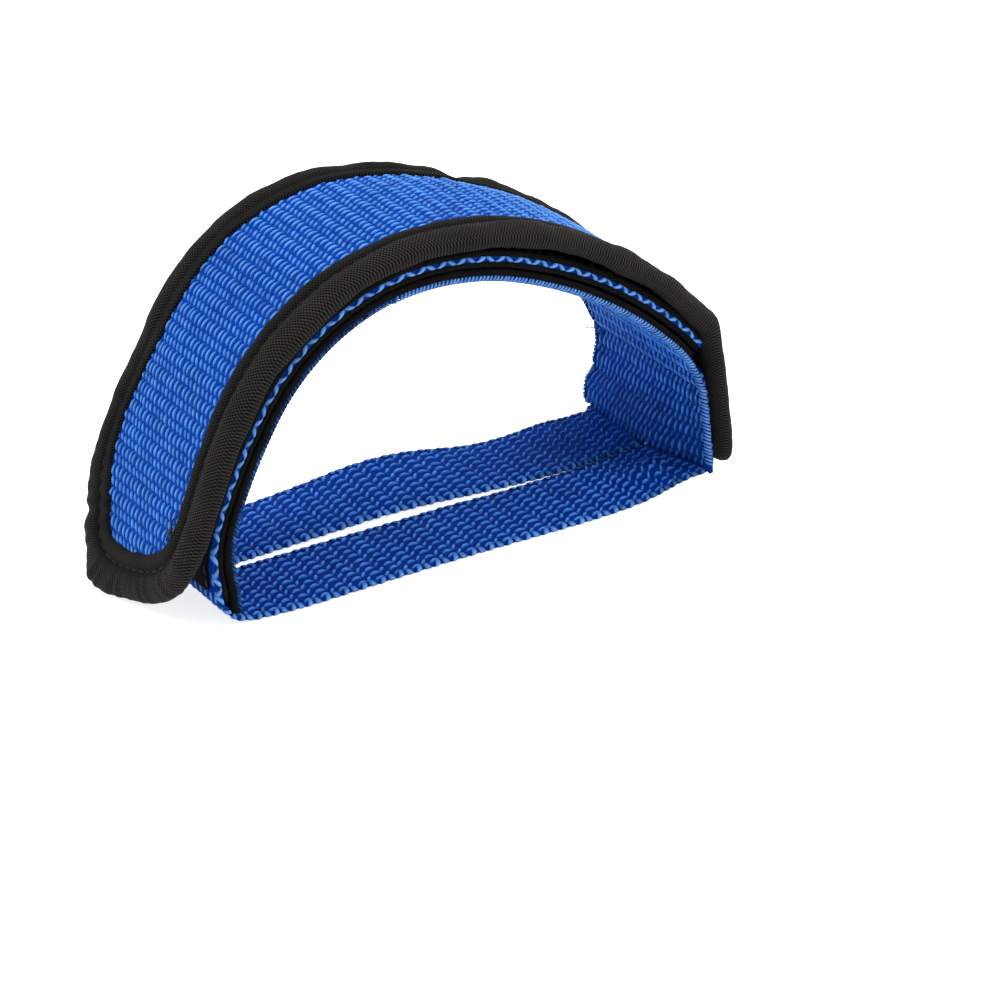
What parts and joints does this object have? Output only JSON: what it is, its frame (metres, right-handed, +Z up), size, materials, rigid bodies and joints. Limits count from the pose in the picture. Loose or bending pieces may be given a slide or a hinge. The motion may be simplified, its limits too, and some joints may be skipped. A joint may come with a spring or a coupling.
{
  "type": "pedal foot strap",
  "caption": "D-shaped hook-and-loop foot strap of blue webbing with a black-bound flap, closed round the passage for a pedal and a shoe.",
  "frame": {"origin": "on the floor under the middle of the closed strap", "axes": "+X along the strap from the flap's free tip to its sewn root, +Y across the webbing, +Z up"},
  "size_m": [0.1614, 0.055, 0.0879],
  "materials": {
    "blue_webbing": "coarse woven polypropylene webbing",
    "black_tape": "hook and loop tape",
    "black_binding": "fine twill binding tape",
    "thread": "twisted sewing thread"
  },
  "bodies": {
    "root": {"flap_foot_binding": "black_binding", "flap_foot_binding_stitching": "thread", "flap_foot_hook_tape": "black_tape", "flap_foot_webbing": "blue_webbing", "front_strap": "blue_webbing", "inner_band_loop_tape": "black_tape", "inner_band_stitching": "thread", "inner_band_webbing": "blue_webbing", "rear_strap": "blue_webbing", "sewn_box_inner_stitching": "thread", "sewn_box_outer_stitching": "thread"},
    "wrap": {"front_wrap_strap": "blue_webbing", "rear_wrap_strap": "blue_webbing", "wrap_hook_tape": "black_tape", "wrap_loop_tape": "black_tape", "wrap_stitching": "thread"},
    "flap": {"flap_binding": "black_binding", "flap_binding_stitching": "thread", "flap_hook_tape": "black_tape", "flap_webbing": "blue_webbing"}
  },
  "joints": [
    {"name": "flap_bend", "type": "hinge", "parent": "root", "child": "flap", "pos_m": [0.07797, 0, 0.02564], "axis": [0, 1, 0], "range_deg": [0, 110]},
    {"name": "wrap_bend", "type": "hinge", "parent": "root", "child": "wrap", "pos_m": [-0.07362, 0, 0.0071], "axis": [0, -1, 0], "range_deg": [0, 33]}
  ],
  "couplings": [
    {"joint": "wrap_bend", "follows": "flap_bend", "ratio": 0.3}
  ]
}
